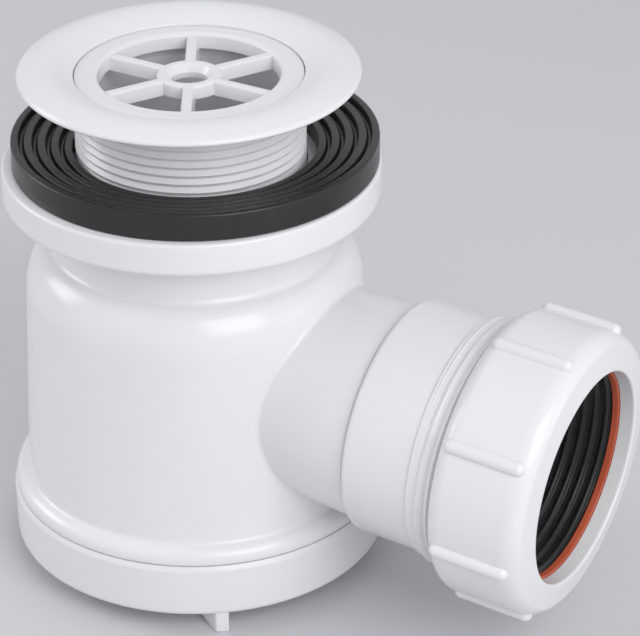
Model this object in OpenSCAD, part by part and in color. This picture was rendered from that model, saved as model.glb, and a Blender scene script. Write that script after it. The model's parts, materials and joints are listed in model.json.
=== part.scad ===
// Shower trap with a threaded waste flange on top and a compression outlet on the side.
// The trap axis is Z, the outlet leaves along +X and falls slightly.
// The origin is the centre of the flat underside of the base, and the feet stand below it.

/* [Base] */
// Outer diameter of the welded base
base_d = 80.4; // [78:0.5:90]
// Height of the base from its flat underside to the weld seam
base_h = 12.3; // [10:0.1:16]
// Wall of the base ring
base_wall = 2.7; // [2:0.1:3]
// Thickness of the base floor
floor_t = 2.8; // [2:0.1:4]
// Rounding of the lower edge of the base
base_edge_r = 1.6; // [0.8:0.1:2.4]
// Height of the feet under the base
foot_h = 4.6; // [2:0.1:8]
// Thickness of each foot
foot_w = 2.8; // [2:0.1:5]
// Flat part of a foot's underside, at its outer end
foot_flat = 2; // [1:0.1:4]
// Angle at which each side of a foot spreads inwards
foot_spread = 22; // [0:1:30]
// Radial length of each foot
foot_len = 10; // [6:0.5:14]
// Angle of the two feet on the outlet side, each way from the outlet
foot_angle = 52; // [35:1:60]

/* [Body] */
// Height of the body from the weld seam to the top of the rim
body_h = 74.3; // [72:0.1:90]
// How far the base stands out past the flared foot at the weld seam
foot_step = 0.5; // [0.1:0.1:0.8]
// How far the flared foot stands out over the wall above it
flare_out = 2.8; // [2:0.05:4]
// How much the wall narrows on the radius from the flare up to the shoulder
taper = 1.55; // [0.5:0.05:2]
// Wall of the body and of its outlet stub
wall = 2.6; // [2:0.1:3]
// Height of the flare above the weld seam
flare_h = 3.5; // [2.5:0.1:8]
// Plain band under the flare, next to the weld seam
flare_band = 0.8; // [0.6:0.1:2]
// Height of the rounded shoulder
shoulder_h = 10.5; // [8:0.1:12]
// Diameter of the neck between shoulder and rim
neck_d = 58.6; // [56:0.1:62]
// Depth of the shoulder's top below the top of the rim
neck_h = 18.5; // [18:0.1:24]
// Diameter of the rim that clamps the tray
rim_d = 78.2; // [74:0.1:84]
// Height of the rim's outer band
rim_h = 7.2; // [5:0.1:9]
// Thickness of the rim's top plate
rim_plate_t = 3.2; // [2.5:0.1:4]
// Thickness of the rim's outer band
rim_band_t = 2.6; // [2:0.1:3.4]
// Number of webs under the rim
rim_webs = 8; // [4:1:12]
// Thickness of a web under the rim
rim_web_t = 2; // [1.2:0.1:3]

/* [Tray washer] */
// Outer diameter of the rubber tray washer
washer_d = 75.6; // [68:0.1:78]
// Hole of the tray washer
washer_hole_d = 50.4; // [49.8:0.1:54]
// Thickness of the tray washer at its outer wall
washer_t = 5.8; // [4:0.1:6]
// How far the loose washer lies off the trap axis
washer_shift = 0.9; // [0:0.1:0.9]
// Direction in which the washer lies off the axis
washer_shift_angle = 30; // [0:5:360]
// Number of rings moulded into the top of the washer
washer_rings = 4; // [3:1:5]
// Drop from one ring of the washer to the next one inside it
washer_step = 0.55; // [0.3:0.05:0.6]
// Depth of the grooves between the rings of the washer
washer_groove = 0.9; // [0.5:0.1:1.2]

/* [Waste flange] */
// Diameter of the waste flange
flange_d = 70; // [64:0.5:72]
// Thickness of the flange at its edge
flange_edge_t = 1.5; // [1.2:0.1:2.5]
// Rise of the flange's domed top
dome_h = 1.5; // [0.8:0.1:2]
// How far the flange's top falls inwards to the strainer, below the height of its edge
dish = 0.8; // [0:0.1:1.2]
// How far the flange stands above the tray washer
flange_lift = 13; // [11:0.1:13.4]
// Outer diameter of the threaded tail
tail_d = 47.6; // [46.8:0.1:48.4]
// Bore of the tail
tail_bore_d = 42.4; // [42:0.1:43]
// Length of the tail under the flange
tail_len = 24.2; // [20:0.1:24.6]
// Thread pitch of the tail
tail_pitch = 1.85; // [1.5:0.05:2.35]
// Thread depth of the tail
tail_thread_h = 0.8; // [0.5:0.05:1]
// Outer diameter of the thin seal under the flange
flange_seal_d = 62; // [56:0.5:63]
// Thickness of the thin seal under the flange
flange_seal_t = 1.5; // [1:0.1:2]
// Wall round and under the strainer's seat
seat_wall = 1.5; // [1.2:0.1:1.8]

/* [Strainer] */
// Diameter of the strainer grid
grid_d = 46.8; // [46.4:0.1:47]
// Opening inside the strainer's ring
grid_open_d = 37.4; // [34:0.1:38]
// Thickness of the strainer's top ring
grid_ring_t = 1.8; // [1.4:0.1:2.4]
// Depth of the strainer's spokes and skirt
grid_depth = 3.4; // [2.8:0.1:4.5]
// Number of spokes
spokes = 6; // [4:1:8]
// Thickness of a spoke
spoke_t = 2.2; // [1.4:0.1:3]
// How far the spokes and the hub lie below the top of the ring
spoke_drop = 0.5; // [0:0.1:1.2]
// Outer diameter of the strainer's hub
hub_d = 13.2; // [10:0.1:15]
// Hole through the hub
hub_hole_d = 7.4; // [5:0.1:8.6]

/* [Dip tube] */
// Outer diameter of the dip tube
dip_d = 37.8; // [34:0.1:38]
// Wall of the dip tube
dip_wall = 2.6; // [2.4:0.1:3]
// How far the dip tube's lip stands out over the tube
dip_lip_out = 1.7; // [1.4:0.1:1.8]
// Thickness of the dip tube's lip
dip_lip_t = 2; // [1.5:0.1:2.4]
// Room under the end of the dip tube
dip_floor_gap = 5.8; // [5:0.1:9]
// Depth of the water seal
seal_depth = 50; // [40:0.5:51]
// Gap round the dip tube inside the weir cup
weir_gap = 6.9; // [5:0.1:8]
// Wall of the weir cup
weir_wall = 2; // [1.6:0.1:2.6]
// Height of the throat that grips the dip tube
throat_h = 4; // [3.4:0.1:5]
// Height of the ledge that carries the dip tube above the shoulder
ledge_rise = 0.5; // [0:0.1:2]
// Section of the dip tube's O-ring
ring_section = 1.6; // [1.2:0.1:1.8]

/* [Outlet] */
// Depth of the outlet axis below the top of the rim, on the trap axis
outlet_drop = 44.1; // [42:0.1:47]
// Fall of the outlet in degrees
outlet_fall = 3.5; // [0:0.1:5]
// Outer diameter of the stub at its weld
stub_d = 46.6; // [46:0.1:49]
// Outer diameter of the stub's cone where it would reach the trap axis
stub_root_d = 41.2; // [40:0.1:46]
// Distance from the trap axis to the weld of the outlet socket
stub_len = 48.6; // [45:0.1:52]
// Diameter of the outlet socket
socket_d = 50.1; // [49.4:0.1:50.8]
// Length of the outlet socket
socket_len = 36; // [33:0.1:42]
// Width of the groove at the socket's weld
weld_gap_w = 0.5; // [0.3:0.1:1]
// Depth of the groove at the socket's weld, below the stub
weld_gap_t = 0.6; // [0.3:0.1:1]
// Rounding of the socket's edge at the weld
socket_edge_r = 1.4; // [0.8:0.1:2]
// Wall of the socket's mouth round the rubber seal
mouth_wall = 1.5; // [1.2:0.1:1.8]
// Pipe bore of the socket
pipe_d = 43.4; // [42.8:0.1:43.6]
// Depth of the pipe stop behind the socket's mouth
pipe_depth = 28.5; // [25:0.1:29]
// Plain part of the socket before its thread
socket_plain = 15.6; // [12:0.1:16]
// Outer diameter of the socket's thread
socket_thread_d = 53; // [52.4:0.1:53.6]
// Thread pitch of the outlet
outlet_pitch = 2.2; // [1.8:0.05:3]
// Thread depth of the outlet
outlet_thread_h = 0.9; // [0.6:0.05:1]

/* [Compression joint] */
// Diameter of the nut between its lugs
nut_d = 60.2; // [58:0.1:63]
// Length of the nut
nut_len = 21.6; // [19:0.1:26]
// Mouth of the nut
nut_mouth_d = 44.8; // [44:0.1:46]
// Thickness of the nut's front lip
nut_lip_t = 3.5; // [2.5:0.1:4]
// Rounding of the nut's back edge
nut_back_r = 3.8; // [2:0.1:4.5]
// Length of the nut's tapered nose
nut_nose_len = 5; // [3:0.1:6]
// Narrowing of the nose, on the radius
nut_nose_in = 3; // [2:0.1:4]
// Lead-in at the back of the nut's bore
nut_lead_in = 1; // [0.5:0.1:1.5]
// Number of lugs on the nut
lugs = 8; // [6:1:10]
// Height of a lug over the nut
lug_h = 1.3; // [0.8:0.1:1.8]
// Radius of a lug's rounded back
lug_r = 1.5; // [1.3:0.1:2.4]
// Run of the lugs onto the nose
lug_run = 1; // [0:0.1:2]
// Turn of the lugs from the horizontal
lug_turn = 18; // [0:1:44]
// Thickness of the slip washer
slip_t = 1.5; // [1:0.1:2]
// Hole of the slip washer
slip_hole_d = 44; // [43.8:0.1:45]
// Length of the rubber outlet seal in the socket
seal_len = 10.4; // [8:0.1:12]
// Thickness of the seal's head in front of the socket
seal_head_t = 2.2; // [1.6:0.1:3]
// Inner diameter over the seal's ridges
seal_ridge_d = 43.6; // [43.5:0.1:44]
// Height of the ridges inside the seal
seal_ridge_h = 0.6; // [0.3:0.1:0.8]
// Number of ridges inside the seal
seal_ridges = 5; // [4:1:6]

/* [Fits] */
// Radial clearance of the two screw threads
thread_play = 0.08; // [0.03:0.01:0.1]
// Clearance between pieces that lift or slide apart
slide_play = 0.3; // [0.2:0.05:0.4]
// Clearance between pieces that lie on each other but move apart
face_play = 0.05; // [0.02:0.01:0.1]

/* [Hidden] */
$fn = 96;
eps = 0.01;
arc_steps = 12;
// How far a cut runs past a face, and how far joined shapes run into each other
overcut = 1;
sink = 0.5;
// Small breaks of the moulded edges
edge_break = 0.5;

// Where the three feet stand, from the outlet
FOOT_ANGLES = [-foot_angle, foot_angle, 180];

// Colours
WHITE = [0.95, 0.95, 0.96];
RUBBER = [0.15, 0.15, 0.16];
ORANGE = [0.72, 0.30, 0.19];
FOAM = [0.80, 0.81, 0.82];

// Heights of the trap
seam_z = base_h;
rim_top_z = seam_z + body_h;
shoulder_top_z = rim_top_z - neck_h;
shoulder_z = shoulder_top_z - shoulder_h;
ledge_z = shoulder_top_z + ledge_rise;
throat_z = ledge_z - throat_h;
dip_end_z = floor_t + dip_floor_gap;
weir_top_z = dip_end_z + seal_depth;
flange_z = rim_top_z + washer_t + flange_lift;
flange_top_z = flange_z + flange_edge_t;
tail_end_z = flange_z - tail_len;

// Radii shared by pieces that fit together
base_r = base_d / 2;
body_foot_r = base_r - foot_step;
body_bottom_r = body_foot_r - flare_out;
body_top_r = body_bottom_r - taper;
neck_r = neck_d / 2;
rim_r = rim_d / 2;
tail_r = tail_d / 2;
tail_bore_r = tail_bore_d / 2;
neck_bore_r = tail_r + thread_play;
dip_r = dip_d / 2;
dip_lip_r = dip_r + dip_lip_out;
throat_r = dip_r + slide_play;
weir_r = dip_r + weir_gap;
grid_r = grid_d / 2;
grid_seat_r = grid_r + slide_play / 2;
grid_top_z = flange_top_z - dish;
seat_z = grid_top_z - grid_ring_t - face_play;
collar_r = grid_seat_r + seat_wall;
collar_z = seat_z - seat_wall;
skirt_r = tail_bore_r - slide_play;
ring_major_r = throat_r - face_play - ring_section / 2;
ring_z = ledge_z - throat_h / 2;
socket_r = socket_d / 2;
pipe_r = pipe_d / 2;
stub_bore_r = stub_d / 2 - wall;
nut_bore_r = socket_thread_d / 2 + thread_play;
washer_fit_r = nut_bore_r - slide_play;
socket_core_r = socket_thread_d / 2 - outlet_thread_h;
seal_r = socket_core_r - mouth_wall;

// Stations along the outlet axis
socket_end = stub_len + socket_len;
seal_front = socket_end + face_play + seal_head_t;
slip_back = seal_front + face_play;
nut_seat = slip_back + slip_t + face_play;
nut_front = nut_seat + nut_lip_t;
nut_back = nut_front - nut_len;
outlet_z = rim_top_z - outlet_drop;

// Points of a quarter ellipse from one point to another, bulging away from its centre
function quarter(centre, reach, from, to) =
    [for (i = [0:arc_steps])
        let (a = from + (to - from) * i / arc_steps)
        [centre[0] + reach[0] * cos(a), centre[1] + reach[1] * sin(a)]];

// Zigzag of thread crests between two heights, walked downwards
function crests(r, depth, pitch, top, bottom) =
    let (n = floor((top - bottom) / pitch))
    [for (i = [0:n - 1], k = [0, 1])
        [r - (k == 0 ? depth : 0), top - (i + (k == 0 ? 0 : 0.5)) * pitch]];

// Places its children on the outlet axis, with local Z running out of the trap
module on_outlet() {
    translate([0, 0, outlet_z])
        rotate([0, 90 + outlet_fall, 0])
            children();
}

// Turned solid between two radii and two heights
module tube(outer, inner, low, high) {
    translate([0, 0, low])
        difference() {
            cylinder(r = outer, h = high - low);
            translate([0, 0, -eps])
                cylinder(r = inner, h = high - low + 2 * eps);
        }
}

// Outer radius of the slightly conical stub at a station along the outlet
function stub_r(station) = (stub_root_d + (stub_d - stub_root_d) * station / stub_len) / 2;

// Outline of the body's outside, from the seam up to the rim
function body_outline() = concat(
    [[0, seam_z], [body_foot_r, seam_z]],
    quarter([body_bottom_r, seam_z + flare_band], [flare_out, flare_h - flare_band], 0, 90),
    quarter([neck_r, shoulder_z], [body_top_r - neck_r, shoulder_h], 0, 90),
    [[neck_r, rim_top_z - eps], [0, rim_top_z - eps]]);

// Outline of the hollow inside the body, with the threaded neck and the throat left standing
function cavity_outline() = concat(
    [[0, seam_z - overcut], [body_bottom_r - wall, seam_z - overcut]],
    quarter([neck_r - wall, shoulder_z - wall / 2],
            [body_top_r - neck_r, shoulder_h - wall / 2], 0, 90),
    [[neck_r - wall, throat_z], [throat_r, throat_z], [throat_r, ledge_z],
     [neck_bore_r, ledge_z], [neck_bore_r, rim_top_z + overcut], [0, rim_top_z + overcut]]);

// The rim, cored from below, with its webs
module rim() {
    rounding = rim_band_t / 2;
    rotate_extrude()
        polygon(concat(
            [[neck_bore_r, rim_top_z - rim_plate_t], [neck_bore_r, rim_top_z],
             [rim_r - rounding, rim_top_z]],
            quarter([rim_r - rounding, rim_top_z - rounding / 2], [rounding, rounding / 2], 80, 0),
            quarter([rim_r - rounding, rim_top_z - rim_h + rounding], [rounding, rounding], 0, -90),
            [[rim_r - rim_band_t, rim_top_z - rim_h], [rim_r - rim_band_t, rim_top_z - rim_plate_t]]));
    for (i = [0:rim_webs - 1])
        rotate([0, 0, (i + 0.5) * 360 / rim_webs])
            translate([neck_r - sink, -rim_web_t / 2, rim_top_z - rim_h + rounding])
                cube([rim_r - neck_r - rounding + sink, rim_web_t,
                      rim_h - rounding - rim_plate_t + sink]);
}

// Body moulding: flared foot, wall, shoulder, threaded neck, rim and outlet stub
module trap_body() {
    bore_end = stub_len + overcut;
    color(WHITE)
        difference() {
            union() {
                rotate_extrude()
                    polygon(body_outline());
                rim();
                on_outlet()
                    cylinder(r1 = stub_r(0), r2 = stub_r(stub_len), h = stub_len);
                tube(base_r - base_wall - slide_play / 2, body_bottom_r - wall - eps,
                     seam_z - throat_h / 2, seam_z + eps);
            }
            rotate_extrude()
                polygon(cavity_outline());
            on_outlet()
                cylinder(r1 = stub_r(0) - wall, r2 = stub_r(bore_end) - wall, h = bore_end);
        }
}

// One foot: a fin that widens inwards and whose underside curves up into the floor
module foot() {
    outer_x = base_r - base_edge_r / 2;
    inner_x = outer_x - foot_len;
    inner_w = foot_w + 2 * foot_len * tan(foot_spread);
    rise = floor_t / 2;
    intersection() {
        translate([0, 0, -foot_h])
            linear_extrude(foot_h + rise)
                polygon([[outer_x, -foot_w / 2], [outer_x, foot_w / 2],
                         [inner_x, inner_w / 2], [inner_x, -inner_w / 2]]);
        rotate([90, 0, 0])
            linear_extrude(inner_w, center = true)
                polygon(concat(
                    [[outer_x, rise], [inner_x, rise]],
                    quarter([outer_x - foot_flat, 0], [foot_len - foot_flat, foot_h], 180, 270),
                    [[outer_x, -foot_h]]));
    }
}

// Base: floor, ring, weir cup and three feet in one moulding
module base_cap() {
    inner_r = base_r - base_wall;
    color(WHITE) {
        rotate_extrude()
            polygon(concat(
                [[0, 0]],
                quarter([base_r - base_edge_r, base_edge_r], [base_edge_r, base_edge_r], -90, 0),
                [[base_r, seam_z], [inner_r, seam_z], [inner_r, floor_t],
                 [weir_r + weir_wall, floor_t], [weir_r + weir_wall, weir_top_z],
                 [weir_r, weir_top_z], [weir_r, floor_t], [0, floor_t]]));
        for (a = FOOT_ANGLES)
            rotate([0, 0, a])
                foot();
    }
}

// Domed flange with the strainer's seat, the collar round the seat and the threaded tail
module waste_flange() {
    edge_r = flange_d / 2;
    core_r = tail_r - tail_thread_h;
    color(WHITE)
        rotate_extrude()
            polygon(concat(
                [[tail_bore_r, tail_end_z], [tail_bore_r, seat_z], [grid_seat_r, seat_z]],
                [for (i = [0:arc_steps])
                    let (u = i / arc_steps)
                    [grid_seat_r + (edge_r - edge_break - grid_seat_r) * u,
                     flange_top_z + dome_h * sin(180 * u) - dish * pow(1 - u, 2)]],
                [[edge_r, flange_top_z - edge_break], [edge_r, flange_z + edge_break],
                 [edge_r - edge_break, flange_z], [collar_r, flange_z], [collar_r, collar_z],
                 [core_r, collar_z]],
                crests(tail_r, tail_thread_h, tail_pitch, collar_z - edge_break,
                       tail_end_z + edge_break),
                [[core_r, tail_end_z + edge_break], [core_r, tail_end_z]]));
}

// Strainer: ring, short skirt, hub and spokes
module strainer_grid() {
    low = grid_top_z - grid_depth;
    open_r = grid_open_d / 2;
    spoke_top = grid_top_z - spoke_drop;
    color(WHITE) {
        tube(grid_r, open_r, grid_top_z - grid_ring_t, grid_top_z);
        tube(skirt_r, open_r, low, grid_top_z - grid_ring_t + eps);
        tube(hub_d / 2, hub_hole_d / 2, low, spoke_top);
        for (i = [0:spokes - 1])
            rotate([0, 0, i * 360 / spokes])
                translate([hub_d / 2 - sink, -spoke_t / 2, low])
                    cube([open_r - hub_d / 2 + 2 * sink, spoke_t, spoke_top - low]);
    }
}

// Thin seal that stays under the flange while the flange turns
module flange_seal() {
    color(FOAM)
        tube(flange_seal_d / 2, collar_r + slide_play, flange_z - face_play - flange_seal_t,
             flange_z - face_play);
}

// Rubber tray washer, whose raised rings step down towards its hole
module tray_washer() {
    out_r = washer_d / 2;
    in_r = washer_hole_d / 2;
    land = 0.55;
    groove_shares = [0, 0.12, 0.33, 0.45];
    pitch = (out_r - in_r) / (washer_rings + land);
    color(RUBBER)
        translate([washer_shift * cos(washer_shift_angle), washer_shift * sin(washer_shift_angle),
                   rim_top_z])
            rotate_extrude()
                polygon(concat(
                    [[in_r, 0], [out_r - edge_break, 0], [out_r, edge_break],
                     [out_r, washer_t - edge_break], [out_r - edge_break, washer_t]],
                    [for (i = [0:washer_rings - 1], k = [0:3])
                        let (r = out_r - (i + land) * pitch, top = washer_t - i * washer_step)
                        [r - pitch * groove_shares[k],
                         [top, top - washer_step - washer_groove, top - washer_step - washer_groove,
                          top - washer_step][k]]],
                    [[in_r, washer_t - washer_rings * washer_step]]));
}

// Removable dip tube that hangs in the throat
module dip_tube() {
    bore_r = dip_r - dip_wall;
    groove_r = ring_major_r - ring_section / 2 - face_play;
    groove_low = ring_z - ring_section / 2 - 2 * face_play;
    groove_high = ring_z + ring_section / 2 + 2 * face_play;
    lip_z = ledge_z + dip_lip_t;
    color(WHITE)
        rotate_extrude()
            polygon([[bore_r, dip_end_z], [dip_r, dip_end_z], [dip_r, groove_low],
                     [groove_r, groove_low], [groove_r, groove_high], [dip_r, groove_high],
                     [dip_r, ledge_z], [dip_lip_r, ledge_z], [dip_lip_r, lip_z - edge_break],
                     [dip_lip_r - edge_break, lip_z], [bore_r + edge_break, lip_z],
                     [bore_r, lip_z - edge_break]]);
}

// O-ring in the dip tube's groove
module dip_tube_ring() {
    color(RUBBER)
        translate([0, 0, ring_z])
            rotate_extrude()
                translate([ring_major_r, 0])
                    circle(d = ring_section, $fn = 32);
}

// Outlet socket, welded to the stub, with its male thread
module outlet_socket() {
    recess_r = seal_r + slide_play / 3;
    recess_back = socket_end - seal_len - face_play;
    stop = socket_end - pipe_depth;
    weld_r = stub_d / 2 - weld_gap_t;
    edge = stub_len + weld_gap_w + socket_edge_r;
    color(WHITE)
        on_outlet()
            rotate_extrude()
                polygon(concat(
                    [[stub_bore_r, stub_len], [stub_bore_r, stop], [pipe_r, stop],
                     [pipe_r, recess_back], [recess_r, recess_back], [recess_r, socket_end],
                     [socket_core_r - edge_break, socket_end]],
                    crests(socket_thread_d / 2, outlet_thread_h, outlet_pitch,
                           socket_end - edge_break, stub_len + socket_plain),
                    [[socket_core_r, stub_len + socket_plain], [socket_r, stub_len + socket_plain],
                     [socket_r, edge]],
                    quarter([socket_r - socket_edge_r, edge], [socket_edge_r, socket_edge_r],
                            0, -80),
                    [[weld_r, stub_len + weld_gap_w], [weld_r, stub_len]]));
}

// Rubber outlet seal with ridges that grip the pipe
module outlet_seal() {
    low = socket_end - seal_len;
    high = seal_front;
    head_low = socket_end + face_play;
    ridge_r = seal_ridge_d / 2;
    valley_r = ridge_r + seal_ridge_h;
    flank = 0.08;
    pitch = (high - low) / seal_ridges;
    color(RUBBER)
        on_outlet()
            rotate_extrude()
                polygon(concat(
                    [[seal_r, low], [seal_r, head_low], [washer_fit_r, head_low],
                     [washer_fit_r, high]],
                    [for (i = [0:seal_ridges - 1], k = [flank, 0.5, 1 - flank])
                        [k == 0.5 ? ridge_r : valley_r, high - (i + k) * pitch]],
                    [[valley_r, low]]));
}

// Slip washer between the rubber seal and the nut
module slip_washer() {
    color(ORANGE)
        on_outlet()
            tube(washer_fit_r, slip_hole_d / 2, slip_back, slip_back + slip_t);
}

// One grip lug: a bar with round ends, laid along the nut
module lug(low, high) {
    translate([0, 0, low])
        cylinder(r = lug_r, h = high - low, $fn = 32);
    for (z = [low, high])
        translate([0, 0, z])
            sphere(r = lug_r, $fn = 32);
}

// Compression nut with its round back, tapered nose and grip lugs
module compression_nut() {
    body_r = nut_d / 2;
    mouth_r = nut_mouth_d / 2;
    nose_z = nut_front - nut_nose_len;
    nose_arc = 70;
    nose_end = [body_r - nut_nose_in - sink, nose_z];
    color(WHITE)
        on_outlet() {
            rotate_extrude()
                polygon(concat(
                    [[mouth_r, nut_front - edge_break], [mouth_r, nut_seat], [nut_bore_r, nut_seat],
                     [nut_bore_r, nut_back + nut_lead_in], [nut_bore_r + edge_break, nut_back]],
                    quarter([body_r - nut_back_r, nut_back + nut_back_r],
                            [nut_back_r, nut_back_r], -90, 0),
                    quarter(nose_end, [nut_nose_in + sink, nut_nose_len - edge_break], 0, nose_arc),
                    [[mouth_r + edge_break, nut_front]]));
            for (i = [0:lugs - 1])
                rotate([0, 0, lug_turn + i * 360 / lugs])
                    translate([0, body_r + lug_h - lug_r, 0])
                        lug(nut_back + nut_back_r + edge_break, nose_z + lug_run);
        }
}

waste_flange();
strainer_grid();
flange_seal();
tray_washer();
trap_body();
base_cap();
dip_tube();
dip_tube_ring();
outlet_socket();
compression_nut();
slip_washer();
outlet_seal();
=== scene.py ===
"""Looks of a shower trap: a screw-in strainer waste, a water-seal body and a compression outlet.

Meshes are built in millimetres in the part's own frame and become metres as they are finished.
"""

import json
import logging
import math
from dataclasses import dataclass, field
from enum import Enum

import bmesh
import bpy
from mathutils import Matrix, Vector


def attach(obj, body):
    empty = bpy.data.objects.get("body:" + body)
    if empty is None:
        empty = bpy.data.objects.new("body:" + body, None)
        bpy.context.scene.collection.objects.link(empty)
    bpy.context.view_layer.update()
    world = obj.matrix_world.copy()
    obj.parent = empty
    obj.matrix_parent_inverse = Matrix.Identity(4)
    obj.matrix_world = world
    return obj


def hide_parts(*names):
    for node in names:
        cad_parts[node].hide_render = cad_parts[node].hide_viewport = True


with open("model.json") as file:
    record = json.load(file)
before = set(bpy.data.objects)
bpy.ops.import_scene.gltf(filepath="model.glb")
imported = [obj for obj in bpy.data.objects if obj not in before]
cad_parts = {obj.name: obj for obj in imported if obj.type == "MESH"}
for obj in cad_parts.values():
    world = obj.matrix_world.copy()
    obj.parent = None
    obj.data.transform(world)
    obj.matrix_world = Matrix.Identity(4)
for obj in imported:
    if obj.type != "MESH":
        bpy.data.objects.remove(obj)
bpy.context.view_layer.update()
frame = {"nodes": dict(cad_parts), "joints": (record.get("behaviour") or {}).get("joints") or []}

log = logging.getLogger("shower_trap")

MM = 0.001
SEGMENTS = 192
SHARP_ANGLE = math.radians(32)
MERGE = 1e-4
FULL_TURN = 2 * math.pi

Point = tuple[float, float]


class Slot(Enum):
    """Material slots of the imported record."""

    WHITE = "white_plastic"
    RUBBER = "rubber"
    ORANGE = "orange_plastic"
    FOAM = "foam"


class Join(Enum):
    """Ways in which one closed shape meets another."""

    ADD = "UNION"
    CUT = "DIFFERENCE"


class NodeSheet:
    """Adds nodes to a tree and joins them."""

    def __init__(self, tree: bpy.types.NodeTree) -> None:
        """Keeps the tree.

        Args:
            tree: The node tree to fill.
        """
        self.tree = tree

    def add(self, kind: str, **settings: object) -> bpy.types.Node:
        """Adds one node.

        Args:
            kind: The node's type name.
            settings: Properties to set on it.

        Returns:
            The new node.
        """
        node = self.tree.nodes.new(kind)
        for key, value in settings.items():
            setattr(node, key, value)
        return node

    def link(self, source: bpy.types.NodeSocket, target: bpy.types.NodeSocket) -> None:
        """Joins an output socket to an input socket."""
        self.tree.links.new(source, target)

    def math(self, operation: str, *terms: object) -> bpy.types.NodeSocket:
        """Adds a math node.

        Args:
            operation: The operation's name.
            terms: Numbers or output sockets, in order.

        Returns:
            The node's result.
        """
        node = self.add("ShaderNodeMath", operation=operation)
        for socket, term in zip(node.inputs, terms):
            if isinstance(term, bpy.types.NodeSocket):
                self.link(term, socket)
            else:
                socket.default_value = term
        return node.outputs[0]

    def noise(self, place: bpy.types.NodeSocket, scale: float, detail: float) -> bpy.types.NodeSocket:
        """Adds a noise pattern.

        Args:
            place: The coordinates to read.
            scale: Repeats per metre.
            detail: Layers of finer noise.

        Returns:
            The pattern's value, from 0 to 1.
        """
        node = self.add("ShaderNodeTexNoise")
        node.inputs["Scale"].default_value = scale
        node.inputs["Detail"].default_value = detail
        self.link(place, node.inputs["Vector"])
        return node.outputs["Fac"]

    def between(self, value: bpy.types.NodeSocket, low: float, high: float) -> bpy.types.NodeSocket:
        """Stretches the middle of a 0 to 1 pattern over a range.

        Args:
            value: The pattern.
            low: Result at the pattern's low side.
            high: Result at the pattern's high side.

        Returns:
            The stretched value.
        """
        node = self.add("ShaderNodeMapRange")
        node.inputs["From Min"].default_value = 0.3
        node.inputs["From Max"].default_value = 0.7
        node.inputs["To Min"].default_value = low
        node.inputs["To Max"].default_value = high
        self.link(value, node.inputs["Value"])
        return node.outputs["Result"]


@dataclass(frozen=True)
class Finish:
    """A moulded surface: a base colour that drifts a little, satin grain and fine relief.

    Colours are linear. Scales are repeats per metre and the relief is in metres.
    """

    name: str
    light: tuple[float, float, float]
    dark: tuple[float, float, float]
    rough_low: float
    rough_high: float
    drift_scale: float = 28.0
    grain_scale: float = 1400.0
    wave_scale: float = 95.0
    grain_relief: float = 0.000006
    wave_relief: float = 0.00004
    ior: float = 1.49
    subsurface: float = 0.0
    subsurface_depth: float = 0.0012
    coat: float = 0.0
    coat_roughness: float = 0.12

    def material(self) -> bpy.types.Material:
        """Builds the node material, or returns it if it is there already."""
        known = bpy.data.materials.get(self.name)
        if known:
            return known
        material = bpy.data.materials.new(self.name)
        material.use_nodes = True
        material.node_tree.nodes.clear()
        sheet = NodeSheet(material.node_tree)
        place = sheet.add("ShaderNodeTexCoord").outputs["Object"]
        drift = sheet.noise(place, self.drift_scale, 3.0)
        grain = sheet.noise(place, self.grain_scale, 2.0)
        wave = sheet.noise(place, self.wave_scale, 1.0)

        colour = sheet.add("ShaderNodeMix", data_type="RGBA")
        colour.inputs["A"].default_value = (*self.dark, 1.0)
        colour.inputs["B"].default_value = (*self.light, 1.0)
        sheet.link(sheet.between(drift, 0.0, 1.0), colour.inputs["Factor"])

        fine = sheet.add("ShaderNodeBump")
        fine.inputs["Strength"].default_value = 1.0
        fine.inputs["Distance"].default_value = self.grain_relief
        sheet.link(grain, fine.inputs["Height"])
        broad = sheet.add("ShaderNodeBump")
        broad.inputs["Strength"].default_value = 1.0
        broad.inputs["Distance"].default_value = self.wave_relief
        sheet.link(wave, broad.inputs["Height"])
        sheet.link(fine.outputs["Normal"], broad.inputs["Normal"])

        shader = sheet.add("ShaderNodeBsdfPrincipled")
        shader.inputs["IOR"].default_value = self.ior
        shader.inputs["Subsurface Weight"].default_value = self.subsurface
        shader.inputs["Subsurface Scale"].default_value = self.subsurface_depth
        shader.inputs["Subsurface Radius"].default_value = (1.0, 0.95, 0.9)
        shader.inputs["Coat Weight"].default_value = self.coat
        shader.inputs["Coat Roughness"].default_value = self.coat_roughness
        sheet.link(colour.outputs["Result"], shader.inputs["Base Color"])
        sheet.link(sheet.between(grain, self.rough_low, self.rough_high), shader.inputs["Roughness"])
        sheet.link(broad.outputs["Normal"], shader.inputs["Normal"])
        output = sheet.add("ShaderNodeOutputMaterial")
        sheet.link(shader.outputs["BSDF"], output.inputs["Surface"])
        return material


FINISHES = {
    Slot.WHITE: Finish(
        "white_polypropylene",
        light=(0.80, 0.805, 0.82),
        dark=(0.78, 0.785, 0.805),
        rough_low=0.20,
        rough_high=0.26,
        grain_scale=180.0,
        grain_relief=0.000002,
        wave_relief=0.000008,
        subsurface=0.10,
    ),
    Slot.RUBBER: Finish(
        "black_rubber",
        light=(0.018, 0.019, 0.020),
        dark=(0.011, 0.012, 0.013),
        rough_low=0.26,
        rough_high=0.36,
        drift_scale=70.0,
        grain_scale=700.0,
        grain_relief=0.000008,
        wave_relief=0.00003,
        ior=1.5,
    ),
    Slot.ORANGE: Finish(
        "orange_slip_plastic",
        light=(0.56, 0.115, 0.055),
        dark=(0.49, 0.090, 0.042),
        rough_low=0.34,
        rough_high=0.46,
        drift_scale=90.0,
    ),
    Slot.FOAM: Finish(
        "grey_foam_seal",
        light=(0.60, 0.61, 0.63),
        dark=(0.50, 0.51, 0.53),
        rough_low=0.75,
        rough_high=0.9,
        drift_scale=400.0,
        grain_scale=3000.0,
        grain_relief=0.00008,
        ior=1.4,
    ),
}


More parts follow.
